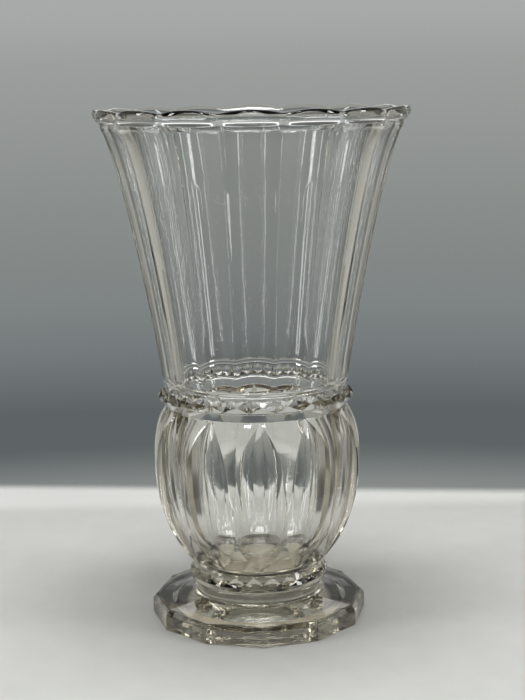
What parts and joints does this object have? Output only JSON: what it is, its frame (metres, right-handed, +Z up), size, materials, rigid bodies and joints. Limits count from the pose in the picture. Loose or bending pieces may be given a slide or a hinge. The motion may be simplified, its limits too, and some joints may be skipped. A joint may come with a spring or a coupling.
{
  "type": "glass vase",
  "caption": "Clear pressed glass vase: fluted flaring bowl with a scalloped lip, pyramid band, lancet-cut bulb, short stem and faceted foot.",
  "frame": {"origin": "centre of the underside of the foot, on the surface that the vase stands on", "axes": "+Z up along the vase's axis, towards the mouth; -Y towards the viewer of the picture, +X to the viewer's right"},
  "size_m": [0.153, 0.153, 0.2525],
  "materials": {
    "clear_glass": "fire-polished pressed soda-lime glass, colourless"
  },
  "bodies": {
    "root": {"foot_plate": "clear_glass", "stem": "clear_glass", "lower_pyramid_ring": "clear_glass", "bulb": "clear_glass", "upper_pyramid_band": "clear_glass", "fluted_bowl": "clear_glass", "scalloped_lip": "clear_glass"}
  },
  "joints": []
}
